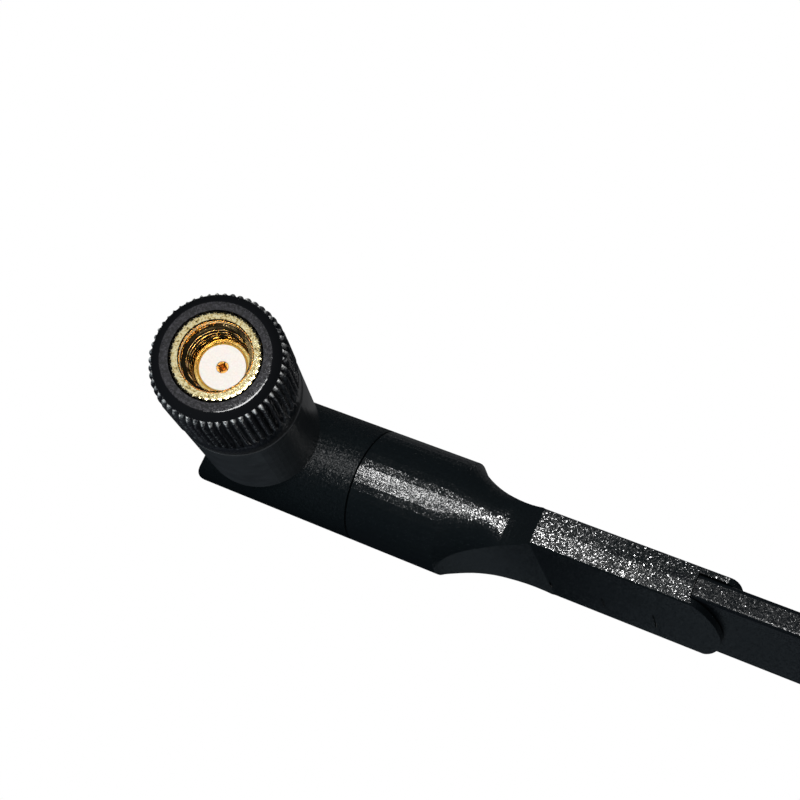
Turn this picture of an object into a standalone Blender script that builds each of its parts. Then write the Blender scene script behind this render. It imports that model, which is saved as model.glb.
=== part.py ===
"""Tilt-and-swivel wifi antenna with a knurled coaxial plug, folded to its stop.

The origin is the centre of the plug's mouth. +Z runs out of the mouth along the plug's axis.
The arm's tilt axis is parallel to Y and lies below the mouth. At rest the arm points to +X
and 15 degrees upwards. Heights of the plug are measured upwards from the tilt axis, and
distances along the arm outwards from it. Sizes are in millimetres, turned to metres by MM.
"""

import math

import bmesh
import bpy
from mathutils import Matrix, Vector

MM = 0.001

# Fits
SEAT = 0.1            # gap between pieces that are fixed to each other
RUN = 0.12            # gap between pieces that turn on each other
SEAM = 0.2            # open joint line that shows outside
OVER = 1.0            # how far a cutter runs past what it cuts

# Pose in the photograph
FOLD_DEG = 75.0       # angle between the plug's axis and the arm
SWIVEL_DEG = 5.0      # turn of the arm about its own length

# Plug, heights above the tilt axis
MOUTH_HEIGHT = 35.12
NUT_LENGTH = 11.55
SOCKET_DEPTH = 3.5    # from the mouth down to the mating face
BAND_HEIGHT = 2.4     # smooth band below the ridges
RIDGE_RUNOUT = 0.55
STEP_HEIGHT = 0.55    # raised ring round the mouth
RIDGE_TAPER = 1.85    # length over which the ridges rise to full height
KNURL_RADIUS = 6.14
KNURL_DEPTH = 0.38
KNURL_COUNT = 54
BAND_RADIUS = 6.04
STEP_RADIUS = 5.68
STEP_FACE = 4.9       # outer radius of the flat front face
STEP_EDGE = 0.1
INSERT_RADIUS = 4.05
SERRATION_DEPTH = 0.16
SERRATION_COUNT = 40
THREAD_BORE = 2.95    # mean radius of the thread
THREAD_LENGTH = 3.9
MOUTH_CHAMFER = 0.3
RELIEF_BORE = 3.25
NUT_LIP = 0.7         # plastic under the brass insert

# Coaxial interface
BODY_WALL = 0.55      # wall of the body's front sleeve
FACE_CHAMFER = 0.18   # inner edge of the mating face
DIELECTRIC_RADIUS = 2.05
DIELECTRIC_LENGTH = 6.6
CONTACT_RADIUS = 0.52
CONTACT_BORE = 0.3
INSULATOR_WALL = 0.5  # wall of its narrow rear part
CONTACT_TAIL = 0.6    # insulator below the contact's end
CONTACT_SLOT = 0.14
CONTACT_SLOT_DEPTH = 2.2
SPIGOT_LEDGE = 0.35   # how far the spigot stands out from the sleeve
SPIGOT_SHARE = 0.652174  # part of the length from the spigot's top to the tube's end
SPIGOT_DEPTH = 1.2    # plain neck between the stem's top and the spigot
TUBE_RADIUS = 1.7
RING_THICKNESS = 0.45
RING_WIDTH = 0.65
RING_GROOVE = 0.4     # depth of its groove in the sleeve
RING_MOUTH_DEG = 40.0
FERRULE_WALL = 0.3
FERRULE_REACH = 0.5   # how far the ferrule runs past the tube's end
FERRULE_ROOM = 0.5    # bore left open past the ferrule

# Stem and its tongue
STEM_RADIUS = 6.08
SHOULDER_HEIGHT = 8.15
STEM_FLOOR = 3.82     # plastic between the shoulder and the ferrule's bore
STEM_ROUNDING = 0.25
TONGUE_HALF = 2.3
TONGUE_RADIUS = 4.9
TRUNNION_RADIUS = 1.7
TRUNNION_LENGTH = 1.9
CHANNEL_HALF = 0.9    # slot in the tongue for the cable

# Fork and barrel
BARREL_RADIUS = 6.08
END_MARGIN = 0.02     # fork's round end over the barrel's radius
SEAM_AT = 13.0
NECK_RADIUS = 3.6
NECK_LENGTH = 5.2
BEAD_HEIGHT = 0.35
BEAD_LENGTH = 1.0

# Arm housing
SCOOP_START = 23.1
SCOOP_BEND = (2.5, 1.0)   # scoop curve's control point: distance from its start, height over the flat
PINCH_DEPTH = 1.66    # how far the base is pinched between the scoops
PINCH_START = 23.0
PINCH_DEEPEST = 27.7
PINCH_END = 30.0
FLARE_START = 29.3
FLARE_END = 33.25
SLEEVE_HALF_THICKNESS = 1.9
SLEEVE_HALF_WIDTH = 8.4
SLEEVE_DRAFT = 0.07   # fall of the narrow faces from their parting line to their edges
SLEEVE_ROUNDING = 0.4
SLEEVE_END = 48.8     # end of the narrow walls
NEAR_TIP = 51.6
NEAR_SQUARENESS = 1.8  # power of the tip's superellipse
FAR_TIP = 52.6
FAR_SQUARENESS = 6.0
TICKS = ((33.4, -5.2, -3.35), (39.3, -4.45, -1.55), (44.8, -4.7, -0.45))
TICK_WIDTH = 0.22
TICK_DEPTH = 0.2

# Blade
BLADE_HALF_THICKNESS = 1.155
BLADE_END = 158.0
BLADE_ROUNDING = 0.4
BLADE_TIP_RADIUS = 3.0
BLADE_WALL = 0.45
BLADE_TIP_WALL = 1.5
SPIGOT_INSET = 0.85   # how much narrower the blade is inside the sleeve
SPIGOT_STEP = 0.05    # how much thinner
BLADE_SPIGOT = 11.0

# Inside the blade
BOARD_THICKNESS = 0.4
BOARD_HALF_WIDTH = 5.6
BOARD_START = 55.0
BOARD_LENGTH = 92.0
TRACE_THICKNESS = 0.12
FEED_GAP = 1.2
FEED_AT = 24.0        # from the board's near end
ARM_WIDTH = 1.5       # width of a printed dipole arm
FEED_BAR = 2.0        # bar that joins a pole's two arms

# Cable
JACKET_RADIUS = 0.405
BRAID_RADIUS = 0.31
CORE_RADIUS = 0.2
CABLE_WALL_GAP = 0.03
CABLE_BORE = 1.4
STEM_CABLE_START = 4.2
ARM_CABLE_START = 11.2

ROUND = 64
FINE = 32


def material(name, color, roughness, metallic=0.0):
    made = bpy.data.materials.new(name)
    made.use_nodes = True
    shader = made.node_tree.nodes["Principled BSDF"]
    shader.inputs["Base Color"].default_value = (*color, 1.0)
    shader.inputs["Roughness"].default_value = roughness
    shader.inputs["Metallic"].default_value = metallic
    return made


def finish(name, mesh_data, paint, sharp_deg=30.0):
    """Turns a bmesh into a named object with its own material and smooth round faces."""
    bmesh.ops.recalc_face_normals(mesh_data, faces=mesh_data.faces)
    mesh = bpy.data.meshes.new(name)
    mesh_data.to_mesh(mesh)
    mesh_data.free()
    made = bpy.data.objects.new(name, mesh)
    bpy.context.scene.collection.objects.link(made)
    made.data.materials.append(paint)
    mesh.shade_smooth()
    mesh.set_sharp_from_angle(angle=math.radians(sharp_deg))
    return made


def lathe(points, steps=ROUND, radius_at=None):
    """Revolves a closed outline of (radius, height) points about Z.

    radius_at(index, radius, step) may change a point's radius round the turn.
    """
    shape = bmesh.new()
    rings = []
    for index, (radius, height) in enumerate(points):
        ring = []
        if radius == 0.0:
            ring = [shape.verts.new((0.0, 0.0, height * MM))] * steps
        else:
            for step in range(steps):
                angle = 2.0 * math.pi * step / steps
                reach = radius_at(index, radius, step) if radius_at else radius
                where = (reach * math.cos(angle), reach * math.sin(angle), height)
                ring.append(shape.verts.new(Vector(where) * MM))
        rings.append(ring)
    for index, ring in enumerate(rings):
        following = rings[(index + 1) % len(rings)]
        for step in range(steps):
            after = (step + 1) % steps
            corners = [ring[step], ring[after], following[after], following[step]]
            corners = list(dict.fromkeys(corners))
            if len(corners) > 2:
                shape.faces.new(corners)
    return shape


def tube_line(inner, outer, low, high):
    """Outline of a plain tube for lathe; inner 0 makes a solid bar."""
    return [(inner, low), (outer, low), (outer, high), (inner, high)]


def prism(outline, low, high, axes):
    """Extrudes a flat outline. axes gives the directions of its two coordinates and of the depth."""
    across, along, depth = (Vector(axis) for axis in axes)
    shape = bmesh.new()
    ends = []
    for level in (low, high):
        verts = [shape.verts.new((a * across + b * along + level * depth) * MM) for a, b in outline]
        ends.append(verts)
    shape.faces.new(ends[0])
    shape.faces.new(ends[1])
    for index in range(len(outline)):
        after = (index + 1) % len(outline)
        shape.faces.new([ends[0][index], ends[0][after], ends[1][after], ends[1][index]])
    return shape


X_AXIS = (1.0, 0.0, 0.0)
Y_AXIS = (0.0, 1.0, 0.0)
Z_AXIS = (0.0, 0.0, 1.0)
IN_XY = (X_AXIS, Y_AXIS, Z_AXIS)
IN_XZ = (X_AXIS, Z_AXIS, Y_AXIS)
IN_YZ = (Y_AXIS, Z_AXIS, X_AXIS)


def box(low, high):
    outline = [(low[0], low[1]), (high[0], low[1]), (high[0], high[1]), (low[0], high[1])]
    return prism(outline, low[2], high[2], IN_XY)


def arc(center, radius, start_deg, end_deg, steps):
    """Points on a circle, ends included."""
    points = []
    for step in range(steps + 1):
        angle = math.radians(start_deg + (end_deg - start_deg) * step / steps)
        points.append((center[0] + radius * math.cos(angle), center[1] + radius * math.sin(angle)))
    return points


def turned(shape, degrees, axis):
    turn = Matrix.Rotation(math.radians(degrees), 3, axis)
    bmesh.ops.rotate(shape, verts=shape.verts, cent=(0, 0, 0), matrix=turn)
    return shape


def along_arm(shape):
    """Lays a shape turned about Z along +X."""
    return turned(shape, 90.0, "Y")


def combined(name, base, paint, steps, sharp_deg=30.0):
    """Applies a list of (operation, shape) Booleans to a base shape, one after another."""
    made = finish(name, base, paint, sharp_deg)
    for operation, shape in steps:
        tool = finish(name + "_tool", shape, paint)
        cut = made.modifiers.new(operation.lower(), "BOOLEAN")
        cut.operation = operation
        cut.solver = "EXACT"
        cut.object = tool
        graph = bpy.context.evaluated_depsgraph_get()
        result = bpy.data.meshes.new_from_object(made.evaluated_get(graph))
        made.modifiers.clear()
        old = made.data
        made.data = result
        bpy.data.meshes.remove(old)
        bpy.data.objects.remove(tool)
    made.data.shade_smooth()
    made.data.set_sharp_from_angle(angle=math.radians(sharp_deg))
    return made


def place(made, parent, height=0.0):
    made.parent = parent
    made.location = (0.0, 0.0, height * MM)
    return made


def rounded_box_outline(half_a, half_b, rounding, steps=4):
    """Rounded rectangle round the origin, counter-clockwise."""
    points = []
    for sign_a, sign_b, start in ((1, 1, 0), (-1, 1, 90), (-1, -1, 180), (1, -1, 270)):
        center = (sign_a * (half_a - rounding), sign_b * (half_b - rounding))
        points += arc(center, rounding, start, start + 90, steps)
    return points


def clear_scene():
    for old in list(bpy.data.objects):
        bpy.data.objects.remove(old)


def empty(name, location, parent=None):
    made = bpy.data.objects.new(name, None)
    made.location = Vector(location) * MM
    made.empty_display_size = 5.0 * MM
    made.parent = parent
    bpy.context.scene.collection.objects.link(made)
    return made


# Heights above the tilt axis that several pieces share
NUT_LOW = MOUTH_HEIGHT - NUT_LENGTH
STEM_TOP = NUT_LOW - SEAM
MATING_FACE = MOUTH_HEIGHT - SOCKET_DEPTH
STEP_FOOT = MOUTH_HEIGHT - STEP_HEIGHT
INSERT_LOW = NUT_LOW + NUT_LIP + SEAT
BODY_RADIUS = DIELECTRIC_RADIUS + BODY_WALL
SPIGOT_RADIUS = BODY_RADIUS + SPIGOT_LEDGE
GROOVE_RADIUS = BODY_RADIUS - RING_GROOVE
RING_BORE = GROOVE_RADIUS + SEAT
RING_RADIUS = RING_BORE + RING_WIDTH
REAR_BORE = BODY_RADIUS + RUN
RING_LOW = INSERT_LOW + 0.6
RELIEF_LOW = RING_LOW + RING_THICKNESS + 0.7
SPIGOT_TOP = STEM_TOP - SPIGOT_DEPTH
FERRULE_BORE_LOW = SHOULDER_HEIGHT + STEM_FLOOR
TUBE_LOW = FERRULE_BORE_LOW + FERRULE_ROOM + FERRULE_REACH
SPIGOT_LOW = SPIGOT_TOP - SPIGOT_SHARE * (SPIGOT_TOP - TUBE_LOW)
DIELECTRIC_LOW = MATING_FACE - DIELECTRIC_LENGTH
REAR_CORE_BORE = BRAID_RADIUS + 0.25

# The ring's groove is deeper than the sleeve's wall, so the bore and the insulator narrow behind it
WAIST_RADIUS = CONTACT_RADIUS + INSULATOR_WALL
WAIST_HEIGHT = RING_LOW + RING_THICKNESS + SEAT + 0.5


def nut_grip(plug, paint):
    """Black knurled ring with a smooth raised ring round the mouth."""
    inner = INSERT_RADIUS + SEAT
    lip = REAR_BORE + SEAT + 0.15
    band_top = NUT_LOW + BAND_HEIGHT
    start = (STEP_RADIUS - 0.03, STEP_FOOT)
    rise = KNURL_RADIUS - start[0]
    outline = [
        (inner, MOUTH_HEIGHT),
        (inner, INSERT_LOW - SEAT),
        (lip, INSERT_LOW - SEAT),
        (lip, NUT_LOW),
        (BAND_RADIUS - 0.15, NUT_LOW),
        (BAND_RADIUS, NUT_LOW + 0.15),
        (BAND_RADIUS, band_top),
    ]
    first_ridged = len(outline)
    outline.append((KNURL_RADIUS, band_top + RIDGE_RUNOUT))
    for step in range(5):
        share = step / 4
        outline.append((start[0] + rise * (1.0 - share**2), start[1] - RIDGE_TAPER * (1.0 - share)))
    ridged = range(first_ridged, len(outline))
    outline += [
        (STEP_RADIUS, STEP_FOOT + 0.05),
        (STEP_RADIUS, STEP_FOOT + 0.15),
        (STEP_FACE + STEP_EDGE, MOUTH_HEIGHT - STEP_EDGE),
        (STEP_FACE, MOUTH_HEIGHT),
    ]
    per_ridge = 2

    def radius_at(index, radius, step):
        if index not in ridged or step % per_ridge == 0:
            return radius
        return min(radius, max(radius - KNURL_DEPTH, STEP_RADIUS - 0.1))

    ring = lathe(outline, KNURL_COUNT * per_ridge, radius_at)
    return place(finish("nut_grip", ring, paint, 35.0), plug, -MOUTH_HEIGHT)


def nut_insert(plug, paint):
    """Gold-plated brass nut that the grip is moulded on."""
    ring_room = RING_RADIUS + RUN
    outline = [
        (THREAD_BORE + MOUTH_CHAMFER, MOUTH_HEIGHT),
        (INSERT_RADIUS - 0.1, MOUTH_HEIGHT),
        (INSERT_RADIUS, MOUTH_HEIGHT - 0.12),
        (INSERT_RADIUS, INSERT_LOW),
        (REAR_BORE, INSERT_LOW),
        (REAR_BORE, RING_LOW - RUN),
        (ring_room, RING_LOW - RUN),
        (ring_room, RING_LOW + RING_THICKNESS + RUN),
        (REAR_BORE, RING_LOW + RING_THICKNESS + RUN),
        (REAR_BORE, RELIEF_LOW),
        (RELIEF_BORE, RELIEF_LOW),
        (RELIEF_BORE, MOUTH_HEIGHT - MOUTH_CHAMFER - THREAD_LENGTH - 0.2),
        (THREAD_BORE, MOUTH_HEIGHT - MOUTH_CHAMFER - THREAD_LENGTH),
        (THREAD_BORE, MOUTH_HEIGHT - MOUTH_CHAMFER),
    ]
    toothed = {1, 2, 3}
    per_tooth = 2

    def radius_at(index, radius, step):
        if index in toothed and step % per_tooth == 0:
            return radius - SERRATION_DEPTH
        return radius

    ring = lathe(outline, SERRATION_COUNT * per_tooth, radius_at)
    return place(finish("nut_insert", ring, paint), plug, -MOUTH_HEIGHT)


def snap_ring(plug, paint):
    """Open spring ring that holds the nut on the connector's body."""
    ring = lathe(tube_line(RING_BORE, RING_RADIUS, 0.0, RING_THICKNESS))
    half = math.radians(RING_MOUTH_DEG / 2)
    reach = 2 * RING_RADIUS
    side_x = reach * math.cos(half)
    side_y = reach * math.sin(half)
    wedge = [(0.0, 0.0), (side_x, -side_y), (side_x, side_y)]
    mouth = prism(wedge, -OVER, RING_THICKNESS + OVER, IN_XY)
    made = combined("snap_ring", ring, paint, [("DIFFERENCE", mouth)])
    return place(made, plug, RING_LOW - MOUTH_HEIGHT)


def connector_body(plug, paint):
    """Turned outer conductor: front sleeve, ring groove, spigot in the stem and crimp tube."""
    bore = DIELECTRIC_RADIUS + CABLE_WALL_GAP
    narrow = WAIST_RADIUS + CABLE_WALL_GAP
    outline = [
        (bore, MATING_FACE - FACE_CHAMFER),
        (bore + FACE_CHAMFER, MATING_FACE),
        (BODY_RADIUS - 0.12, MATING_FACE),
        (BODY_RADIUS, MATING_FACE - 0.12),
        (BODY_RADIUS, RING_LOW + RING_THICKNESS + SEAT),
        (GROOVE_RADIUS, RING_LOW + RING_THICKNESS + SEAT),
        (GROOVE_RADIUS, RING_LOW - SEAT),
        (BODY_RADIUS, RING_LOW - SEAT),
        (BODY_RADIUS, SPIGOT_TOP),
        (SPIGOT_RADIUS, SPIGOT_TOP),
        (SPIGOT_RADIUS, SPIGOT_LOW),
        (TUBE_RADIUS, SPIGOT_LOW),
        (TUBE_RADIUS, TUBE_LOW),
        (REAR_CORE_BORE, TUBE_LOW),
        (REAR_CORE_BORE, DIELECTRIC_LOW - SEAT),
        (narrow, DIELECTRIC_LOW - SEAT),
        (narrow, WAIST_HEIGHT),
        (bore, WAIST_HEIGHT),
    ]
    return place(finish("connector_body", lathe(outline), paint), plug, -MOUTH_HEIGHT)


def dielectric(plug, paint):
    """White insulator round the contact, flush with the mating face."""
    waist = WAIST_HEIGHT + CABLE_WALL_GAP
    bore = CONTACT_RADIUS + CABLE_WALL_GAP
    outline = [
        (bore, MATING_FACE),
        (DIELECTRIC_RADIUS, MATING_FACE),
        (DIELECTRIC_RADIUS, waist),
        (WAIST_RADIUS, waist),
        (WAIST_RADIUS, DIELECTRIC_LOW),
        (bore, DIELECTRIC_LOW),
    ]
    return place(finish("dielectric", lathe(outline, FINE * 2), paint), plug, -MOUTH_HEIGHT)


def center_contact(plug, paint):
    """Socket contact with four slots in its mouth."""
    depth = CONTACT_SLOT_DEPTH + 0.8
    low = DIELECTRIC_LOW + CONTACT_TAIL
    outline = [
        (CONTACT_BORE + 0.08, MATING_FACE - 0.05),
        (CONTACT_RADIUS, MATING_FACE - 0.05),
        (CONTACT_RADIUS, low),
        (0.0, low),
        (0.0, MATING_FACE - depth),
        (CONTACT_BORE, MATING_FACE - depth),
        (CONTACT_BORE, MATING_FACE - 0.15),
    ]
    half = CONTACT_SLOT / 2
    reach = CONTACT_RADIUS + OVER
    low_cut = MATING_FACE - CONTACT_SLOT_DEPTH
    high_cut = MATING_FACE + OVER
    slots = [
        box((-reach, -half, low_cut), (reach, half, high_cut)),
        box((-half, -reach, low_cut), (half, reach, high_cut)),
    ]
    cuts = [("DIFFERENCE", slot) for slot in slots]
    made = combined("center_contact", lathe(outline, FINE), paint, cuts)
    return place(made, plug, -MOUTH_HEIGHT)


def crimp_ferrule(plug, paint):
    """Brass sleeve crimped over the connector's tube."""
    bore = TUBE_RADIUS + CABLE_WALL_GAP
    radius = bore + FERRULE_WALL
    top = SPIGOT_LOW - SEAT
    low = TUBE_LOW - FERRULE_REACH
    shape = lathe(tube_line(bore, radius, low, top), FINE)
    return place(finish("crimp_ferrule", shape, paint), plug, -MOUTH_HEIGHT)


def stem(plug, paint):
    """Black moulded stem with the tongue and trunnions of the tilt joint."""
    spigot_bore = SPIGOT_RADIUS + CABLE_WALL_GAP
    neck_bore = BODY_RADIUS + CABLE_WALL_GAP
    ferrule_bore = TUBE_RADIUS + FERRULE_WALL + SEAT
    corner = (STEM_RADIUS - STEM_ROUNDING, SHOULDER_HEIGHT + STEM_ROUNDING)
    outline = [
        (neck_bore, STEM_TOP),
        (STEM_RADIUS - 0.1, STEM_TOP),
        (STEM_RADIUS, STEM_TOP - 0.1),
    ]
    outline += arc(corner, STEM_ROUNDING, 0, -90, 3)
    outline += [
        (CABLE_BORE, SHOULDER_HEIGHT),
        (CABLE_BORE, FERRULE_BORE_LOW),
        (ferrule_bore, FERRULE_BORE_LOW),
        (ferrule_bore, SPIGOT_LOW - CABLE_WALL_GAP),
        (spigot_bore, SPIGOT_LOW - CABLE_WALL_GAP),
        (spigot_bore, SPIGOT_TOP + CABLE_WALL_GAP),
        (neck_bore, SPIGOT_TOP + CABLE_WALL_GAP),
    ]
    root = SHOULDER_HEIGHT + 1.5
    tongue_line = [(TONGUE_RADIUS, root), (-TONGUE_RADIUS, root)]
    tongue_line += arc((0.0, 0.0), TONGUE_RADIUS, 180, 360, 24)
    tongue = prism(tongue_line, -TONGUE_HALF, TONGUE_HALF, IN_XZ)
    reach = TONGUE_HALF + TRUNNION_LENGTH
    trunnions = turned(lathe(tube_line(0.0, TRUNNION_RADIUS, -reach, reach), FINE), 90.0, "X")
    channel_line = [(-CABLE_BORE, SHOULDER_HEIGHT + 2.5), (-CABLE_BORE, 0.0)]
    channel_line += [(-CABLE_BORE, -TONGUE_RADIUS - OVER), (TONGUE_RADIUS + OVER, -TONGUE_RADIUS - OVER)]
    channel_line += [(TONGUE_RADIUS + OVER, 3.2), (CABLE_BORE, 4.4), (CABLE_BORE, SHOULDER_HEIGHT + 2.5)]
    channel = prism(channel_line, -CHANNEL_HALF, CHANNEL_HALF, IN_XZ)
    steps = [("UNION", tongue), ("UNION", trunnions), ("DIFFERENCE", channel)]
    return place(combined("stem", lathe(outline), paint, steps), plug, -MOUTH_HEIGHT)


def stem_cable(plug, paints):
    """Cable in the stem, bared in steps where it enters the connector."""
    low = STEM_CABLE_START
    braid_bore = BRAID_RADIUS + CABLE_WALL_GAP
    core_bore = CORE_RADIUS + CABLE_WALL_GAP
    core_top = DIELECTRIC_LOW + CONTACT_TAIL - SEAT
    layers = [
        ("stem_cable_jacket", tube_line(braid_bore, JACKET_RADIUS, low, TUBE_LOW - 0.3), "jacket"),
        ("stem_cable_braid", tube_line(core_bore, BRAID_RADIUS, low, SPIGOT_LOW - 0.5), "braid"),
        ("stem_cable_core", tube_line(0.0, CORE_RADIUS, low, core_top), "core"),
    ]
    for name, line, paint in layers:
        place(finish(name, lathe(line, 24), paints[paint]), plug, -MOUTH_HEIGHT)


def fork(tilt, paint):
    """Forked knuckle: ears round the tongue, and a neck that the arm turns on."""
    seam_face = SEAM_AT - SEAM / 2
    bead_at = SEAM_AT + NECK_LENGTH - BEAD_LENGTH
    bead = NECK_RADIUS + BEAD_HEIGHT
    end_radius = BARREL_RADIUS + END_MARGIN
    outline = [
        (0.0, -end_radius - OVER),
        (BARREL_RADIUS, -end_radius - OVER),
        (BARREL_RADIUS, seam_face),
        (NECK_RADIUS, seam_face),
        (NECK_RADIUS, bead_at),
        (bead, bead_at + BEAD_HEIGHT),
        (bead, bead_at + BEAD_LENGTH - BEAD_HEIGHT),
        (NECK_RADIUS, bead_at + BEAD_LENGTH),
        (0.0, bead_at + BEAD_LENGTH),
    ]
    reach = BARREL_RADIUS + OVER
    far = SEAM_AT + NECK_LENGTH + OVER
    side = [(far, -end_radius), (far, end_radius)]
    side += arc((0.0, 0.0), end_radius, 90, 270, 40)
    side_cut = prism(side, -reach, reach, IN_XZ)
    slot_half = TONGUE_HALF + RUN
    floor_radius = TONGUE_RADIUS + RUN
    lean = math.radians(90.0 - FOLD_DEG)
    rise = (reach + floor_radius * math.sin(lean)) / math.cos(lean)
    slot_line = arc((0.0, 0.0), floor_radius, -90, FOLD_DEG - 90.0, 12)
    slot_line += [(floor_radius * math.cos(lean) + rise * math.sin(lean), reach)]
    slot_line += [(-end_radius - OVER, reach), (-end_radius - OVER, -reach), (0.0, -reach)]
    slot = prism(slot_line, -slot_half, slot_half, IN_XZ)
    socket_reach = TONGUE_HALF + TRUNNION_LENGTH + RUN
    socket_radius = TRUNNION_RADIUS + RUN
    socket_line = tube_line(0.0, socket_radius, -socket_reach, socket_reach)
    sockets = turned(lathe(socket_line, FINE), 90.0, "X")
    bore = along_arm(lathe(tube_line(0.0, CABLE_BORE, 0.0, far), FINE))
    steps = [("INTERSECT", side_cut), ("DIFFERENCE", slot), ("DIFFERENCE", sockets), ("DIFFERENCE", bore)]
    return place(combined("fork", along_arm(lathe(outline)), paint, steps), tilt)


def loft(rings):
    """Skins rings of equal point count, each a distance along X and a (Y, Z) outline, capping both ends."""
    shape = bmesh.new()
    rows = []
    for distance, outline in rings:
        rows.append([shape.verts.new(Vector((distance, a, b)) * MM) for a, b in outline])
    for row, following in zip(rows, rows[1:]):
        for index in range(len(row)):
            after = (index + 1) % len(row)
            shape.faces.new([row[index], row[after], following[after], following[index]])
    shape.faces.new(rows[0])
    shape.faces.new(rows[-1])
    return shape


def half_thickness(share):
    """Scoop's curve from the base's side to the sleeve's flat, as (distance, half thickness)."""
    corner = (SCOOP_START, BARREL_RADIUS)
    bend = (SCOOP_START + SCOOP_BEND[0], SLEEVE_HALF_THICKNESS + SCOOP_BEND[1])
    flat = (FLARE_END, SLEEVE_HALF_THICKNESS)
    back = 1.0 - share
    return tuple(
        back * back * a + 2.0 * share * back * b + share * share * c
        for a, b, c in zip(corner, bend, flat)
    )


def pinch(distance):
    """How much narrower than the barrel the base's ellipse is across its flats."""
    if distance < PINCH_DEEPEST:
        away = (PINCH_DEEPEST - distance) / (PINCH_DEEPEST - PINCH_START)
    else:
        away = (distance - PINCH_DEEPEST) / (PINCH_END - PINCH_DEEPEST)
    return PINCH_DEPTH * math.cos(math.pi / 2.0 * min(1.0, away))


def base_section(distance, half_y):
    """Cross-section of the base: two flats at half_y joined by arcs that flare out towards the sleeve."""
    count = 22
    flare = max(0.0, (distance - FLARE_START) / (FLARE_END - FLARE_START)) ** 1.5
    half_y = min(half_y, BARREL_RADIUS * 0.9995)
    reach = max(BARREL_RADIUS - pinch(distance), half_y / 0.9995)
    widest = math.asin(half_y / reach)
    top = []
    for step in range(count + 1):
        angle = widest * (1.0 - 2.0 * step / count)
        y = reach * math.sin(angle)
        round_height = BARREL_RADIUS * math.cos(angle)
        narrow_face = SLEEVE_HALF_WIDTH - SLEEVE_DRAFT * abs(y) / SLEEVE_HALF_THICKNESS
        top.append((y, round_height + flare * (narrow_face - round_height)))
    return top + [(-y, -z) for y, z in top]


def tongue_outline(tip, power):
    """End of a tongue, as half a superellipse of (distance, half width) from side to middle."""
    depth = tip - SLEEVE_END
    points = []
    for step in range(15):
        share = math.cos(math.radians(90.0 * step / 14.0))
        drop = 1.0 - max(0.0, 1.0 - share**power) ** (1.0 / power)
        points.append((tip - depth * drop, SLEEVE_HALF_WIDTH * share))
    return points


def beyond_tongue(tip, power, reach, far):
    """Outline of all that lies beyond a tongue's rounded end."""
    half = tongue_outline(tip, power)
    outline = [(SLEEVE_END, reach)] + half
    outline += [(distance, -width) for distance, width in reversed(half[:-1])]
    return outline + [(SLEEVE_END, -reach), (far, -reach), (far, reach)]


def round_long_edges(shape):
    """Rounds the four long edges of the sleeve."""
    edges = []
    for edge in shape.edges:
        spots = [vert.co / MM for vert in edge.verts]
        on_side = all(abs(abs(spot.z) - SLEEVE_HALF_WIDTH + SLEEVE_DRAFT) < 0.01 for spot in spots)
        on_face = all(abs(abs(spot.y) - SLEEVE_HALF_THICKNESS) < 0.01 for spot in spots)
        if on_side and on_face and abs(spots[0].x - spots[1].x) > OVER:
            edges.append(edge)
    bmesh.ops.bevel(shape, geom=edges, offset=SLEEVE_ROUNDING * MM, segments=3, profile=0.5, affect="EDGES")


def housing(arm, paint):
    """Round base scooped to a flat sleeve wider than the base, with two tongues over the blade."""
    start = SEAM_AT + SEAM / 2
    reach = SLEEVE_HALF_WIDTH + OVER
    high = BARREL_RADIUS + OVER
    rings = [(start, base_section(start, BARREL_RADIUS))]
    for step in range(17):
        distance, half_y = half_thickness(step / 16)
        rings.append((distance, base_section(distance, half_y)))
    rings.append((FAR_TIP + OVER, base_section(FLARE_END, SLEEVE_HALF_THICKNESS)))
    shape = loft(rings)
    round_long_edges(shape)
    spigot_y = BLADE_HALF_THICKNESS + SEAT
    spigot_z = SLEEVE_HALF_WIDTH - SPIGOT_INSET + SEAT
    socket_start = SLEEVE_END - BLADE_SPIGOT - SEAT
    socket = prism(rounded_box_outline(spigot_y, spigot_z, 0.3, 3), socket_start, SLEEVE_END + OVER, IN_YZ)
    far = FAR_TIP + 2 * OVER
    open_end = box((SLEEVE_END, -spigot_y, -reach), (far, spigot_y, reach))
    near_end = prism(beyond_tongue(NEAR_TIP, NEAR_SQUARENESS, reach, far), -high, 0.0, IN_XZ)
    far_end = prism(beyond_tongue(FAR_TIP, FAR_SQUARENESS, reach, far), 0.0, high, IN_XZ)
    neck_bore = NECK_RADIUS + RUN
    groove_bore = NECK_RADIUS + BEAD_HEIGHT + RUN
    groove_at = SEAM_AT + NECK_LENGTH - BEAD_LENGTH - RUN
    groove_end = SEAM_AT + NECK_LENGTH + RUN
    bore_line = [
        (0.0, start - OVER),
        (neck_bore, start - OVER),
        (neck_bore, groove_at),
        (groove_bore, groove_at + BEAD_HEIGHT),
        (groove_bore, groove_end),
        (CABLE_BORE, groove_end + 1.2),
        (CABLE_BORE, socket_start + 0.4),
        (0.0, socket_start + 0.4),
    ]
    bore = along_arm(lathe(bore_line, 48))
    cuts = [("DIFFERENCE", shape_cut) for shape_cut in (socket, open_end, near_end, far_end, bore)]
    face = SLEEVE_HALF_THICKNESS
    for at, low_end, high_end in TICKS:
        low = (at - TICK_WIDTH / 2, -face - OVER, low_end)
        high = (at + TICK_WIDTH / 2, -face + TICK_DEPTH, high_end)
        cuts.append(("DIFFERENCE", box(low, high)))
    return place(combined("housing", shape, paint, cuts), arm)


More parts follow.
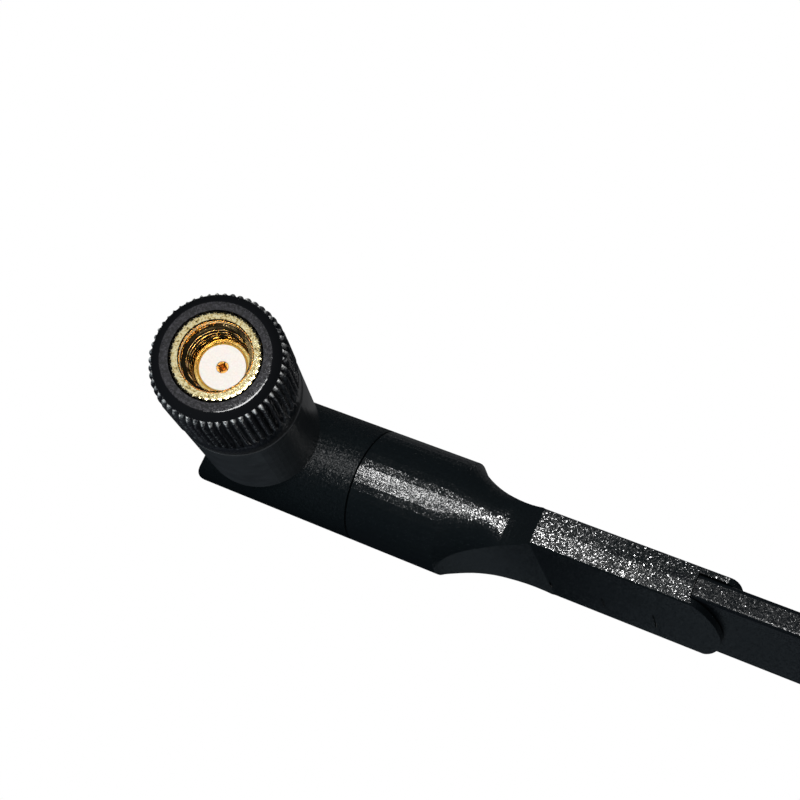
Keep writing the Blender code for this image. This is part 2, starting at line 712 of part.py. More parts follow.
def blade(arm, paint):
    """Flat hollow radome: a wide bar with a narrower spigot inside the sleeve."""
    wide = SLEEVE_HALF_WIDTH
    thick = BLADE_HALF_THICKNESS
    first = SLEEVE_END + SEAT
    back = SLEEVE_END - BLADE_SPIGOT
    narrow = wide - SPIGOT_INSET
    room = rounded_box_outline(thick - BLADE_WALL, narrow - BLADE_WALL, 0.3)
    spigot = rounded_box_outline(thick - SPIGOT_STEP, narrow, 0.3)
    bar = rounded_box_outline(thick, wide, BLADE_ROUNDING)
    rings = [(BLADE_END - BLADE_TIP_WALL, room), (back, room), (back, spigot), (first, spigot), (first, bar)]
    for point in arc((BLADE_END - BLADE_TIP_RADIUS, wide - BLADE_TIP_RADIUS), BLADE_TIP_RADIUS, 90, 0, 8):
        rings.append((point[0], rounded_box_outline(thick, point[1], BLADE_ROUNDING)))
    return place(finish("blade", loft(rings), paint), arm)


def board_levels():
    """Across the blade's thickness: the board's two faces and the printed copper's outer face."""
    inside = BLADE_HALF_THICKNESS - BLADE_WALL
    back = -inside + SEAT
    front = back + BOARD_THICKNESS
    return back, front, front + CABLE_WALL_GAP + TRACE_THICKNESS


def board_pieces(arm, paints):
    """Printed board with the two forked poles of a dipole."""
    back, front, copper = board_levels()
    end = BOARD_START + BOARD_LENGTH
    half = BOARD_HALF_WIDTH
    laminate = box((BOARD_START, back, -half), (end, front, half))
    feed = BOARD_START + FEED_AT
    edge = half - 0.3
    inner = edge - ARM_WIDTH
    long_arm = FEED_AT - 2.0
    level = front + CABLE_WALL_GAP
    place(finish("antenna_board", laminate, paints["board"]), arm)
    for name, near, side in (("upper_radiator", feed + FEED_GAP, 1.0), ("lower_radiator", feed, -1.0)):
        line = [(near, -edge), (near + side * long_arm, -edge), (near + side * long_arm, -inner)]
        line += [(near + side * FEED_BAR, -inner), (near + side * FEED_BAR, inner)]
        line += [(near + side * long_arm, inner), (near + side * long_arm, edge), (near, edge)]
        place(finish(name, prism(line, level, copper, IN_XZ), paints["copper"]), arm)


def arm_cable(arm, paints):
    """Cable from the joint through the base to the board's feed, bared in steps at its end."""
    start = ARM_CABLE_START
    feed = BOARD_START + FEED_AT
    layers = [
        ("arm_cable_jacket", BRAID_RADIUS + CABLE_WALL_GAP, JACKET_RADIUS, BOARD_START - SEAT, "jacket"),
        ("arm_cable_braid", CORE_RADIUS + CABLE_WALL_GAP, BRAID_RADIUS, feed - 2.2, "braid"),
        ("arm_cable_core", 0.0, CORE_RADIUS, feed + 0.4, "core"),
    ]
    rise = board_levels()[2] + CABLE_WALL_GAP + BRAID_RADIUS
    for name, inner, outer, end, paint in layers:
        shape = along_arm(lathe(tube_line(inner, outer, start, end), 16))
        bmesh.ops.translate(shape, verts=shape.verts, vec=(0.0, rise * MM, 0.0))
        place(finish(name, shape, paints[paint]), arm)


def build():
    clear_scene()
    black_satin = material("black_satin_plastic", (0.02, 0.021, 0.022), 0.38)
    black_grain = material("black_grained_plastic", (0.018, 0.018, 0.019), 0.5)
    black_blade = material("black_blade_plastic", (0.02, 0.02, 0.021), 0.45)
    black_knurl = material("black_knurled_plastic", (0.022, 0.023, 0.025), 0.42)
    gold = material("gold_plated_nut", (0.86, 0.6, 0.22), 0.25, 1.0)
    gold_body = material("gold_plated_body", (0.86, 0.6, 0.24), 0.22, 1.0)
    gold_contact = material("gold_contact", (0.8, 0.45, 0.14), 0.3, 1.0)
    spring = material("spring_bronze", (0.6, 0.38, 0.2), 0.4, 1.0)
    white = material("white_insulator", (0.85, 0.83, 0.82), 0.45)
    brass = material("brass_ferrule", (0.75, 0.6, 0.32), 0.35, 1.0)
    cable = {
        "jacket": material("cable_jacket", (0.03, 0.03, 0.03), 0.5),
        "braid": material("cable_braid", (0.7, 0.7, 0.68), 0.35, 1.0),
        "core": material("cable_core", (0.8, 0.8, 0.78), 0.5),
    }
    board = {
        "board": material("board_laminate", (0.05, 0.2, 0.1), 0.55),
        "copper": material("printed_copper", (0.72, 0.4, 0.25), 0.35, 1.0),
    }
    plug = empty("plug_axis", (0.0, 0.0, 0.0))
    tilt = empty("tilt_axis", (0.0, 0.0, -MOUTH_HEIGHT))
    tilt.rotation_euler = (0.0, math.radians(FOLD_DEG - 90.0), 0.0)
    arm = empty("swivel_axis", (0.0, 0.0, 0.0), tilt)
    arm.rotation_euler = (math.radians(-SWIVEL_DEG), 0.0, 0.0)
    nut_grip(plug, black_knurl)
    nut_insert(plug, gold)
    snap_ring(plug, spring)
    connector_body(plug, gold_body)
    dielectric(plug, white)
    center_contact(plug, gold_contact)
    crimp_ferrule(plug, brass)
    stem(plug, black_satin)
    stem_cable(plug, cable)
    fork(tilt, black_grain)
    housing(arm, black_grain)
    blade(arm, black_blade)
    board_pieces(arm, board)
    arm_cable(arm, cable)


build()
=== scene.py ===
"""Looks of the wifi antenna: materials, fine detail, lights and camera."""

import math
import random

import bpy
from mathutils import Matrix, Vector


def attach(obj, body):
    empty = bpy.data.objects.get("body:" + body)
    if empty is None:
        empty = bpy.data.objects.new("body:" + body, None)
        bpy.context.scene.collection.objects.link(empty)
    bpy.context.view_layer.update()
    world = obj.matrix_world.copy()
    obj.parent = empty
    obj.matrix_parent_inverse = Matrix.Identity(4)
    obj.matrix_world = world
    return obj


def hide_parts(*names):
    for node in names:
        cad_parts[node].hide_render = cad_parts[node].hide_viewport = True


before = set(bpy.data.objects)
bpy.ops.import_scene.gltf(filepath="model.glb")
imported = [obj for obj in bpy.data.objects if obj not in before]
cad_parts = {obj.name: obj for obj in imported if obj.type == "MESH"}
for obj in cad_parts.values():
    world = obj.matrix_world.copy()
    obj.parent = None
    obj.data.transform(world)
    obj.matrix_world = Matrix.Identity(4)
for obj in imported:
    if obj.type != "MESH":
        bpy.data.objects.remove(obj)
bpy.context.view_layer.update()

MM = 0.001
TURN = 2.0 * math.pi

# Front of the knurled ring, in millimetres from the centre of the nut's mouth
GRIP_BORE = 4.08
FACE_RADIUS = 4.8
FACE_WEAR = 0.07
BEVEL_LEANS_DEG = (4.0, 9.0, 14.0, 18.0)
BEVEL_WIDTH = 0.04
STEP_RADIUS = 5.62
STEP_HEIGHT = 0.55
STEP_LIP = 0.02
ROUNDING_STEPS = 8
ROUNDING_START_DEG = 24.0
ROUNDING_TURN_DEG = 4.0

# Ridges of the knurled ring
KNURL_RADIUS = 6.14
KNURL_COUNT = 54
KNURL_DEPTH = 0.4
POINTS_PER_RIDGE = 14
CREST_SHARE = 0.12
FLANK_SHARE = 0.8
RIDGE_RISE = 0.12
RIDGE_TAPER = 1.85
TAPER_STEPS = 12
TAPER_POWER = 2.2
END_WEAR_LOSS = 0.17
END_WEAR_LEAST = 0.15
RIDGE_WEAR = 0.17
RIDGE_STEPS = 4
SCUFF_RANGE = (0.55, 1.0)
SCUFF_POWER = 0.8
NICK_RANGE = (-0.03, 0.02)
POINT_LENGTH = 1.1
POINT_STEPS = 8
POINT_WEAR = 0.08

# Plain band under the ridges
NUT_LENGTH = 11.55
BAND_RADIUS = 6.04
BAND_HEIGHT = 2.4
BAND_WEAR = 0.03
BAND_ROUNDING = 0.2
BAND_CORNER = 0.06
FOOT_WIDTH = 1.0
GRIP_SHARP_DEG = 34.0

# Gold insert with its serrated rim
INSERT_LENGTH = 10.75
INSERT_RADIUS = 4.0
INSERT_SHARP_DEG = 40.0
RIM_RADIUS = 4.02
RIM_DEPTH = 0.6
RIM_BITE = 0.2
RIM_BEVEL = 0.08
RIM_CORNER_RADIUS = 3.93
RIM_CORNER_BITE = 0.12
RIM_CORNER_DEPTH = 0.01
RIM_FACE_RADIUS = 3.72
SERRATIONS = 40
POINTS_PER_TOOTH = 8
TOOTH_SHARE = 0.35
DENT_RANGE = (-0.035, 0.025)
DENT_SHARE = 2.5
MOUTH_RADIUS = 3.25
MOUTH_LAND = 0.12
MOUTH_EDGE = 0.02
FACE_RINGS = 6

# Bore and inner thread of the insert
COUNTERBORE_RADIUS = 3.12
COUNTERBORE_DEPTH = 1.0
THREAD_PITCH = 0.7056
THREAD_ROOT = 3.14
THREAD_CREST = 2.74
THREAD_LENGTH = 3.9
THREAD_RUNOUT = 0.35
THREAD_LAND = 0.16
THREAD_FLANK = 0.62
RINGS_PER_PITCH = 14.0
RELIEF_RADIUS = 3.24
RELIEF_START = 0.2
RELIEF_DEPTH = 4.6

# Camera found from the photograph, its place in millimetres
PICTURE = 800
FOCAL_PX = 1390.98
SENSOR_WIDTH = 36.0
CAMERA_AT = (32.525, -21.492, 111.709)
CAMERA_RIGHT = (0.91126, 0.40911, -0.04732)
CAMERA_DOWN = (0.38574, -0.88812, -0.24991)
CAMERA_FORWARD = (-0.14427, 0.20948, -0.96711)

# Lamps look at this point of the part, in metres
LIT_CENTER = Vector((18.0, 0.0, -20.0)) * MM
SURROUND = (0.0075, 0.0095, 0.012)
NEUTRAL = (1.0, 1.0, 1.0)
COOL = (0.8, 0.92, 1.0)
COLD = (0.75, 0.9, 1.0)
WARM = (1.0, 0.97, 0.92)
ARM_NODES = ("fork", "housing", "blade")

# Nearly all of a noise's values lie between these two
NOISE_SPAN = (0.3, 0.7)

# The second layer of facets has grains this much finer than the first
FINER_LAYER = 1.7

# Sockets of a colour mix node
MIX_FIRST = 6
MIX_SECOND = 7
MIX_RESULT = 2


# Node helpers

def shaded(color, share):
    return tuple(part * share for part in color)


class Shader:
    """Short ways to add nodes and links to one material."""

    def __init__(self, name):
        self.material = bpy.data.materials.new(name)
        self.material.use_nodes = True
        self.nodes = self.material.node_tree.nodes
        self.links = self.material.node_tree.links
        self.main = self.nodes["Principled BSDF"]

    def add(self, kind, **values):
        node = self.nodes.new(kind)
        for key, value in values.items():
            setattr(node, key, value)
        return node

    def link(self, source, target):
        self.links.new(source, target)

    def feed(self, name, source):
        """Links a source to one of the shader's own sockets."""
        self.link(source, self.main.inputs[name])

    def set(self, name, value):
        self.main.inputs[name].default_value = value

    def coords(self):
        """Object coordinates in millimetres."""
        where = self.add("ShaderNodeTexCoord")
        mapped = self.add("ShaderNodeMapping")
        mapped.inputs["Scale"].default_value = (1.0 / MM, 1.0 / MM, 1.0 / MM)
        self.link(where.outputs["Object"], mapped.inputs["Vector"])
        return mapped.outputs["Vector"]

    def noise(self, vector, scale, detail, rough=0.5):
        made = self.add("ShaderNodeTexNoise")
        made.inputs["Scale"].default_value = scale
        made.inputs["Detail"].default_value = detail
        made.inputs["Roughness"].default_value = rough
        self.link(vector, made.inputs["Vector"])
        return made.outputs["Fac"]

    def remap(self, value, low, high, new_low, new_high):
        made = self.add("ShaderNodeMapRange")
        for index, number in enumerate((low, high, new_low, new_high), start=1):
            made.inputs[index].default_value = number
        self.link(value, made.inputs[0])
        return made.outputs[0]

    def math(self, operation, first, second):
        made = self.add("ShaderNodeMath", operation=operation)
        for index, value in enumerate((first, second)):
            if isinstance(value, float):
                made.inputs[index].default_value = value
            else:
                self.link(value, made.inputs[index])
        return made.outputs[0]

    def ramp(self, value, stops):
        made = self.add("ShaderNodeValToRGB")
        steps = made.color_ramp.elements
        while len(steps) < len(stops):
            steps.new(0.5)
        for step, (place, color) in zip(steps, stops):
            step.position = place
            step.color = (*color, 1.0)
        self.link(value, made.inputs["Fac"])
        return made.outputs["Color"]

    def varied(self, noise, low, high):
        """A value that wanders between low and high as the noise does."""
        return self.remap(noise, *NOISE_SPAN, low, high)

    def two_tone(self, noise, color, share, span=NOISE_SPAN):
        """Feeds the shader's colour with one that is darkened to a share where the noise is low."""
        self.feed("Base Color", self.ramp(noise, [(span[0], shaded(color, share)), (span[1], color)]))

    def worn(self):
        """Wear that the mesh holds, from 0 to 1."""
        made = self.add("ShaderNodeAttribute")
        made.attribute_name = "wear"
        return made.outputs["Fac"]

    def facets(self, vector, scale, tilt):
        """Normal that leans at random from one small grain to the next, in two layers."""
        surface = self.add("ShaderNodeNewGeometry")
        normal = surface.outputs["Normal"]
        for layer_scale in (scale, scale * FINER_LAYER):
            grain = self.add("ShaderNodeTexVoronoi")
            grain.inputs["Scale"].default_value = layer_scale
            self.link(vector, grain.inputs["Vector"])
            centered = self.add("ShaderNodeVectorMath", operation="SUBTRACT")
            centered.inputs[1].default_value = (0.5, 0.5, 0.5)
            self.link(grain.outputs["Color"], centered.inputs[0])
            leaning = self.add("ShaderNodeVectorMath", operation="SCALE")
            leaning.inputs["Scale"].default_value = tilt
            self.link(centered.outputs[0], leaning.inputs[0])
            total = self.add("ShaderNodeVectorMath", operation="ADD")
            self.link(normal, total.inputs[0])
            self.link(leaning.outputs[0], total.inputs[1])
            normal = total.outputs[0]
        unit = self.add("ShaderNodeVectorMath", operation="NORMALIZE")
        self.link(normal, unit.inputs[0])
        return unit.outputs[0]

    def bump(self, height, distance, before=None):
        """Feeds the shader's normal with bumps of a height in millimetres."""
        made = self.add("ShaderNodeBump")
        made.inputs["Distance"].default_value = distance * MM
        made.inputs["Strength"].default_value = 1.0
        self.link(height, made.inputs["Height"])
        if before is not None:
            self.link(before, made.inputs["Normal"])
        self.feed("Normal", made.outputs["Normal"])


# Materials

def grained_plastic(name, grain, tilt, rough, base=(0.0032, 0.0046, 0.0054), ior=1.6):
    """Black moulded plastic with spark-eroded grain that sparkles in a highlight."""
    made = Shader(name)
    where = made.coords()
    coarse = made.noise(where, scale=grain * 0.6, detail=2.0, rough=0.6)
    made.bump(coarse, 0.006, before=made.facets(where, grain, tilt))
    made.set("IOR", ior)
    made.feed("Roughness", made.varied(made.noise(where, scale=0.25, detail=3.0), *rough))
    made.two_tone(coarse, base, 0.6)
    return made.material


def satin_plastic(name, base, rough):
    """Smooth black plastic with faint handling marks."""
    made = Shader(name)
    where = made.coords()
    made.bump(made.noise(where, scale=9.0, detail=4.0, rough=0.6), 0.003)
    blotch = made.noise(where, scale=0.6, detail=4.0, rough=0.6)
    made.feed("Roughness", made.varied(blotch, *rough))
    made.two_tone(blotch, base, 0.75, span=(0.35, 0.65))
    return made.material


def gold(name, rough=(0.08, 0.16), inside=(1.0, 0.7, 0.3)):
    """Plated brass, smooth in its bores and grainy with olive pits where its faces are worn."""
    made = Shader(name)
    made.set("Metallic", 1.0)
    where = made.coords()
    fine = made.noise(where, scale=4.5, detail=3.0, rough=0.7)
    made.bump(fine, 0.012)
    blotch = made.noise(where, scale=1.3, detail=3.0)
    made.feed("Roughness", made.varied(blotch, *rough))
    bore_color = made.ramp(fine, [(0.3, shaded(inside, 0.7)), (0.6, inside)])
    pitted = made.math("ADD", made.math("MULTIPLY", fine, 0.75), made.math("MULTIPLY", blotch, 0.25))
    plating = (0.88, 0.67, 0.28)
    pit = (plating[0] * 0.16, plating[1] * 0.18, plating[2] * 0.16)
    rubbed = (1.0, 0.91, 0.56)
    face_color = made.ramp(pitted, [(0.38, pit), (0.46, plating), (0.53, rubbed)])
    mixed = made.add("ShaderNodeMix", data_type="RGBA")
    made.link(made.worn(), mixed.inputs["Factor"])
    made.link(bore_color, mixed.inputs[MIX_FIRST])
    made.link(face_color, mixed.inputs[MIX_SECOND])
    made.feed("Base Color", mixed.outputs[MIX_RESULT])
    return made.material


def white_plastic(name):
    """Milky insulator that lets a little light in."""
    made = Shader(name)
    fine = made.noise(made.coords(), scale=6.0, detail=3.0)
    made.bump(fine, 0.004)
    cream = (0.8, 0.77, 0.74)
    white = (0.87, 0.85, 0.82)
    made.feed("Base Color", made.ramp(fine, list(zip(NOISE_SPAN, (cream, white)))))
    made.set("Roughness", 0.45)
    made.set("Subsurface Weight", 0.25)
    made.set("Subsurface Scale", 0.8 * MM)
    return made.material


def plain_metal(name, color):
    made = Shader(name)
    made.set("Metallic", 1.0)
    fine = made.noise(made.coords(), scale=8.0, detail=3.0)
    made.bump(fine, 0.006)
    made.feed("Roughness", made.varied(fine, 0.28, 0.455))
    made.two_tone(fine, color, 0.85)
    return made.material


def plain_plastic(name, color):
    made = Shader(name)
    fine = made.noise(made.coords(), scale=5.0, detail=3.0)
    made.bump(fine, 0.006)
    made.two_tone(fine, color, 0.8)
    made.set("Roughness", 0.5)
    return made.material


def knurl_plastic(name):
    """Black plastic whose raised edges are scuffed to a lighter grey."""
    made = Shader(name)
    where = made.coords()
    fine = made.noise(where, scale=8.0, detail=3.0, rough=0.6)
    made.bump(fine, 0.003, before=made.facets(where, scale=8.0, tilt=0.05))
    scatter = made.noise(where, scale=3.6, detail=3.0, rough=0.7)
    broken = made.remap(scatter, 0.41, 0.57, new_low=0.15, new_high=1.0)
    amount = made.math("MULTIPLY", made.worn(), broken)
    dark = (0.006, 0.0065, 0.0075)
    dusty = (0.018, 0.017, 0.022)
    scuffed = (0.25, 0.26, 0.26)
    bare = (0.9, 0.9, 0.88)
    stops = [(0.0, dark), (0.018, dark), (0.06, dusty), (0.22, scuffed), (0.65, bare)]
    made.feed("Base Color", made.ramp(amount, stops))
    made.feed("Roughness", made.remap(amount, 0.0, 0.5, new_low=0.1, new_high=0.6))
    return made.material


# Shapes

def smooth(value):
    value = max(0.0, min(1.0, value))
    return value * value * (3.0 - 2.0 * value)


def away_from_middle(share):
    """0 in the middle of a repeat and 1 at its ends."""
    return abs(share - 0.5) * 2.0


def ring_points(steps, height, radius_at):
    """One turn of points at a height, each at the radius that radius_at gives for its step."""
    points = []
    for step in range(steps):
        angle = TURN * step / steps
        reach = radius_at(step)
        points.append((reach * math.cos(angle), reach * math.sin(angle), height))
    return points


def grid_solid(name, rings, wear, sharp_deg):
    """Closes a stack of equal rings of points into a ring-shaped solid."""
    steps = len(rings[0])
    verts = [Vector(point) * MM for ring in rings for point in ring]
    faces = []
    for row in range(len(rings)):
        first = row * steps
        below = (row + 1) % len(rings) * steps
        for step in range(steps):
            after = (step + 1) % steps
            faces.append((first + step, first + after, below + after, below + step))
    mesh = bpy.data.meshes.new(name)
    mesh.from_pydata(verts, [], faces)
    layer = mesh.attributes.new("wear", "FLOAT", "POINT")
    layer.data.foreach_set("value", [value for ring in wear for value in ring])
    mesh.update()
    made = bpy.data.objects.new(name, mesh)
    bpy.context.scene.collection.objects.link(made)
    mesh.shade_smooth()
    mesh.set_sharp_from_angle(angle=math.radians(sharp_deg))
    return made


def crest_radius(depth):
    """Radius of the ridges' crests at a depth below the front face."""
    share = min(1.0, max(0.0, (depth - STEP_HEIGHT) / RIDGE_TAPER))
    low = STEP_RADIUS + RIDGE_RISE
    return low + (KNURL_RADIUS - low) * (1.0 - (1.0 - share) ** TAPER_POWER)


def front_levels():
    """Front face, its bevel and the glossy rounded ring around it."""
    levels = [(GRIP_BORE, 0.0, 0.0, FACE_WEAR), (FACE_RADIUS, 0.0, 0.0, FACE_WEAR)]
    radius = FACE_RADIUS
    height = 0.0
    for lean in BEVEL_LEANS_DEG:
        radius += BEVEL_WIDTH
        height -= BEVEL_WIDTH * math.tan(math.radians(lean))
        levels.append((radius, height, 0.0, 0.0))
    width = (STEP_RADIUS - radius) / ROUNDING_STEPS
    for step in range(ROUNDING_STEPS):
        radius += width
        height -= width * math.tan(math.radians(ROUNDING_START_DEG + ROUNDING_TURN_DEG * step))
        levels.append((radius, height, 0.0, 0.0))
    levels.append((STEP_RADIUS, STEP_LIP - STEP_HEIGHT, 0.0, 0.0))
    return levels


def ridge_levels(point):
    """Ridges, from their scuffed front ends to their points at the height given."""
    levels = []
    for step in range(TAPER_STEPS + 1):
        depth = STEP_HEIGHT + RIDGE_TAPER * step / TAPER_STEPS
        wear = max(END_WEAR_LEAST, 1.0 - END_WEAR_LOSS * step)
        levels.append((crest_radius(depth), -depth, 1.0, wear))
    top = -STEP_HEIGHT - RIDGE_TAPER
    for step in range(1, RIDGE_STEPS + 1):
        levels.append((KNURL_RADIUS, top + step / RIDGE_STEPS * (point - top), 1.0, RIDGE_WEAR))
    for step in range(1, POINT_STEPS + 1):
        share = step / POINT_STEPS
        radius = KNURL_RADIUS + (BAND_RADIUS - KNURL_RADIUS) * smooth(share)
        levels.append((radius, point - POINT_LENGTH * share, 1.0 - share, POINT_WEAR))
    return levels


def band_levels():
    """Plain band under the ridges and the nut's back."""
    low = -NUT_LENGTH
    return [
        (BAND_RADIUS, low + BAND_ROUNDING, 0.0, BAND_WEAR),
        (BAND_RADIUS - BAND_CORNER, low + BAND_CORNER, 0.0, 0.0),
        (BAND_RADIUS - BAND_ROUNDING, low, 0.0, 0.0),
        (BAND_RADIUS - FOOT_WIDTH, low, 0.0, 0.0),
        (GRIP_BORE, low, 0.0, 0.0),
    ]


def dressed_grip():
    """Knurled ring, from levels that each hold radius, height, share of the grooves' depth and wear."""
    steps = KNURL_COUNT * POINTS_PER_RIDGE
    random.seed(7)
    scuff = [random.uniform(*SCUFF_RANGE) for _ in range(KNURL_COUNT)]
    nick = [random.uniform(*NICK_RANGE) for _ in range(KNURL_COUNT)]
    deeps = []
    for step in range(POINTS_PER_RIDGE):
        away = away_from_middle((step + 0.5) / POINTS_PER_RIDGE)
        deeps.append(max(0.0, min(1.0, (away - CREST_SHARE) / FLANK_SHARE)))
    point = BAND_HEIGHT - NUT_LENGTH + POINT_LENGTH
    rings = []
    wears = []
    for radius, height, cut, wear in front_levels() + ridge_levels(point) + band_levels():

        def reach(step, radius=radius, cut=cut):
            if cut == 0.0:
                return radius
            deep = deeps[step % POINTS_PER_RIDGE]
            depth = max(0.0, KNURL_DEPTH * (deep - (1.0 - cut)))
            depth -= nick[step // POINTS_PER_RIDGE] * cut * (1.0 - deep)
            return max(radius - depth, STEP_RADIUS - RIDGE_RISE)

        def rubbed(step, cut=cut, wear=wear):
            if cut == 0.0:
                return wear
            deep = deeps[step % POINTS_PER_RIDGE]
            return wear * scuff[step // POINTS_PER_RIDGE] * (1.0 - deep) ** SCUFF_POWER

        rings.append(ring_points(steps, height, reach))
        wears.append([rubbed(step) for step in range(steps)])
    return grid_solid("grip_dressed", rings, wears, GRIP_SHARP_DEG)


def thread_radius(angle, height):
    """Radius of the inner thread at a turn and height."""
    away = away_from_middle((height / THREAD_PITCH - angle / TURN) % 1.0)
    flank = max(0.0, min(1.0, (away - THREAD_LAND) / THREAD_FLANK))
    return THREAD_CREST + (THREAD_ROOT - THREAD_CREST) * (smooth(flank) + flank) / 2.0


def dressed_insert():
    """Gold nut with a serrated rim, a chamfered mouth and a real helical thread."""
    steps = SERRATIONS * POINTS_PER_TOOTH
    random.seed(11)
    dents = [random.uniform(*DENT_RANGE) for _ in range(SERRATIONS)]

    def plain(radius):
        return lambda step: radius

    def rim(radius, bite):
        def reach(step):
            away = away_from_middle((step % POINTS_PER_TOOTH + 0.5) / POINTS_PER_TOOTH)
            notch = smooth((away - TOOTH_SHARE) / (1.0 - TOOTH_SHARE))
            return radius + dents[step // POINTS_PER_TOOTH] * bite * DENT_SHARE - bite * notch
        return reach

    def bore(height):
        def reach(step):
            chamfer = MOUTH_RADIUS + MOUTH_EDGE + height
            lead_in = COUNTERBORE_RADIUS if height > -COUNTERBORE_DEPTH else 0.0
            relief = RELIEF_RADIUS if height < -THREAD_LENGTH - RELIEF_START else 0.0
            return max(thread_radius(TURN * step / steps, height), chamfer, lead_in, relief)
        return reach

    profile = [
        (0.0, plain(MOUTH_RADIUS + MOUTH_EDGE)),
        (0.0, plain(MOUTH_RADIUS + MOUTH_LAND)),
        (0.0, plain(RIM_FACE_RADIUS)),
        (-RIM_CORNER_DEPTH, rim(RIM_CORNER_RADIUS, RIM_CORNER_BITE)),
        (-RIM_BEVEL, rim(RIM_RADIUS, RIM_BITE)),
        (-RIM_DEPTH, rim(RIM_RADIUS, RIM_BITE)),
        (-INSERT_LENGTH, plain(INSERT_RADIUS)),
        (-INSERT_LENGTH, plain(MOUTH_RADIUS)),
        (-RELIEF_DEPTH, plain(MOUTH_RADIUS)),
    ]
    fine = THREAD_PITCH / RINGS_PER_PITCH
    for index in range(int((THREAD_LENGTH + THREAD_RUNOUT) / fine), -1, -1):
        height = -MOUTH_EDGE - index * fine
        profile.append((height, bore(height)))
    rings = [ring_points(steps, height, reach) for height, reach in profile]
    worn_face = [[1.0] * steps] * FACE_RINGS
    clean_bore = [[0.0] * steps] * (len(rings) - FACE_RINGS)
    return grid_solid("insert_dressed", rings, worn_face + clean_bore, INSERT_SHARP_DEG)


# Dressing of the frame

def node_looks():
    """Look of each node that keeps its own solid."""
    blade_black = (0.003, 0.004, 0.005)
    blade = grained_plastic("blade_look", 8.5, tilt=0.17, rough=(0.14, 0.22), base=blade_black, ior=1.5)
    jacket = plain_plastic("jacket_look", (0.03, 0.03, 0.03))
    braid = plain_metal("braid_look", (0.7, 0.7, 0.68))
    core = plain_plastic("core_look", (0.8, 0.8, 0.78))
    copper = plain_metal("copper_look", (0.72, 0.4, 0.25))
    return {
        "connector_body": gold("gold_body_look", inside=(1.0, 0.76, 0.28)),
        "center_contact": gold("contact_look", rough=(0.25, 0.4), inside=(0.8, 0.4, 0.09)),
        "snap_ring": plain_metal("bronze_look", (0.6, 0.38, 0.2)),
        "dielectric": white_plastic("white_look"),
        "crimp_ferrule": plain_metal("brass_look", (0.75, 0.6, 0.32)),
        "stem": satin_plastic("satin_look", (0.042, 0.044, 0.046), rough=(0.16, 0.24)),
        "fork": grained_plastic("fork_look", 7.5, tilt=0.3, rough=(0.28, 0.38), ior=1.165),
        "housing": grained_plastic("grain_look", 8.5, tilt=0.19, rough=(0.14, 0.21)),
        "blade": blade,
        "stem_cable_jacket": jacket,
        "arm_cable_jacket": jacket,
        "stem_cable_braid": braid,
        "arm_cable_braid": braid,
        "stem_cable_core": core,
        "arm_cable_core": core,
        "antenna_board": plain_plastic("board_look", (0.05, 0.2, 0.1)),
        "upper_radiator": copper,
        "lower_radiator": copper,
    }


def dress():
    for node, look in node_looks().items():
        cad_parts[node].material_slots[0].material = look
    grip = dressed_grip()
    grip.data.materials.append(knurl_plastic("knurl_look"))
    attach(grip, "nut")
    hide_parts("nut_grip")
    insert = dressed_insert()
    insert.data.materials.append(gold("gold_look"))
    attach(insert, "nut")
    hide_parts("nut_insert")


# Lights and camera

def lamp(name, direction, distance, size, power, color=NEUTRAL, along=(0.0, 1.0, 0.0)):
    """Rectangular lamp that looks at the part from a direction, with its first side along another.

    Distance and size are in metres, power in watts.
    """
    light = bpy.data.lights.new(name, "AREA")
    light.shape = "RECTANGLE"
    light.size = size[0]
    light.size_y = size[1]
    light.energy = power
    light.color = color
    made = bpy.data.objects.new(name, light)
    away = Vector(direction).normalized()
    side = (Vector(along) - away * away.dot(Vector(along))).normalized()
    axes = Matrix((side, away.cross(side), away)).transposed()
    made.matrix_world = Matrix.Translation(LIT_CENTER + away * distance) @ axes.to_4x4()
    bpy.context.scene.collection.objects.link(made)
    return made


def light_arm():
    """Lamps whose light and shadows take in the arm alone: its bright stripe, and a sheen from behind."""
    arm_only = bpy.data.collections.new("arm_only")
    for node in ARM_NODES:
        arm_only.objects.link(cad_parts[node])
    stripe_run = (-0.20, 0.90, -0.40)
    key = lamp("key", (-0.656, 0.102, 0.748), 0.5, size=(0.09, 0.045), power=2.5, along=stripe_run)
    sheen = lamp("sheen", (0.68, 0.68, -0.26), 0.6, size=(0.4, 0.4), power=0.6)
    for arm_lamp in (key, sheen):
        arm_lamp.light_linking.blocker_collection = arm_only
        arm_lamp.light_linking.receiver_collection = arm_only


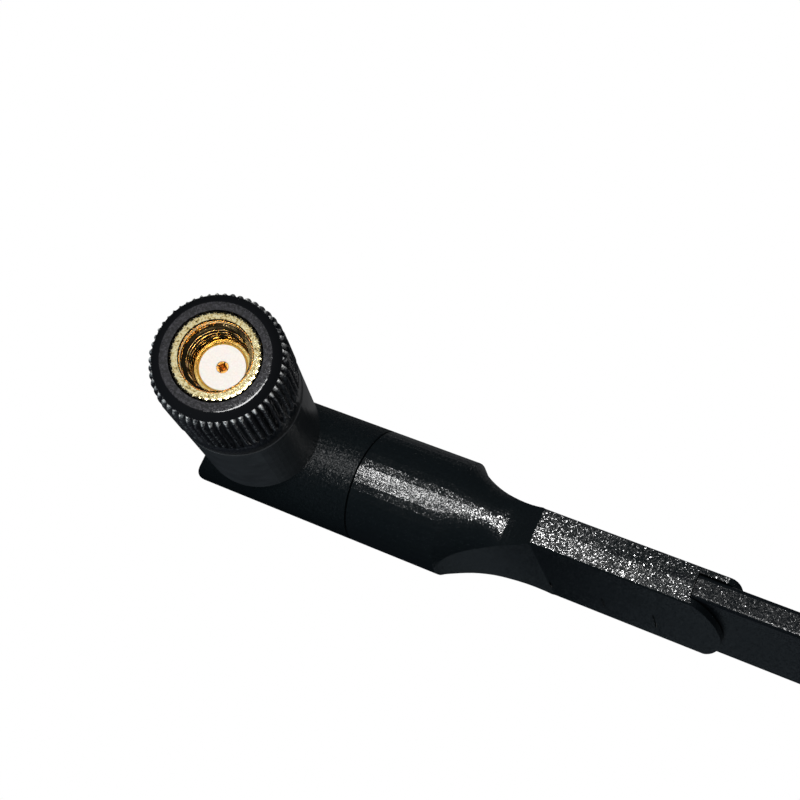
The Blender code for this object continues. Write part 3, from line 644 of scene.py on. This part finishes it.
def light_all():
    """Lamps for the whole part. The front and back ones fill the shade without showing in its gloss."""
    front = lamp("front", (-0.25, -0.95, 0.05), 0.6, size=(0.3, 0.3), power=1.9, color=COOL)
    back = lamp("back", (-0.3, 0.85, -0.42), 0.6, size=(0.3, 0.3), power=1.6, color=WARM)
    for fill in (front, back):
        fill.visible_glossy = False
    lamp("zenith", (0.06, -0.04, 1.0), 0.6, size=(0.23, 0.23), power=3.5)
    lamp("wall", (-0.3, 0.17, 0.94), 0.7, size=(0.22, 0.22), power=0.1)
    lamp("ground_far", (-0.1, 0.55, -0.83), 0.5, size=(0.45, 0.45), power=0.045)
    lamp("ground_near", (0.32, -0.55, -0.77), 0.5, size=(0.3, 0.3), power=0.02, color=COLD)


def light_world():
    """White to the camera, a plain dim grey to everything else."""
    world = bpy.data.worlds.new("surround")
    bpy.context.scene.world = world
    world.use_nodes = True
    tree = world.node_tree
    back = tree.nodes["Background"]
    back.inputs["Color"].default_value = (*SURROUND, 1.0)
    white = tree.nodes.new("ShaderNodeBackground")
    white.inputs["Color"].default_value = (1.0, 1.0, 1.0, 1.0)
    path = tree.nodes.new("ShaderNodeLightPath")
    mix = tree.nodes.new("ShaderNodeMixShader")
    tree.links.new(path.outputs["Is Camera Ray"], mix.inputs["Fac"])
    tree.links.new(back.outputs[0], mix.inputs[1])
    tree.links.new(white.outputs[0], mix.inputs[2])
    tree.links.new(mix.outputs[0], tree.nodes["World Output"].inputs["Surface"])


def set_camera():
    camera = bpy.data.cameras.new("camera")
    camera.sensor_width = SENSOR_WIDTH
    camera.lens = FOCAL_PX / PICTURE * SENSOR_WIDTH
    camera.clip_start = 0.01
    camera.clip_end = 10.0
    made = bpy.data.objects.new("camera", camera)
    axes = Matrix((CAMERA_RIGHT, -Vector(CAMERA_DOWN), -Vector(CAMERA_FORWARD))).transposed()
    made.matrix_world = Matrix.Translation(Vector(CAMERA_AT) * MM) @ axes.to_4x4()
    bpy.context.scene.collection.objects.link(made)
    bpy.context.scene.camera = made


dress()
light_world()
light_arm()
light_all()
set_camera()
bpy.context.scene.view_settings.view_transform = "Standard"
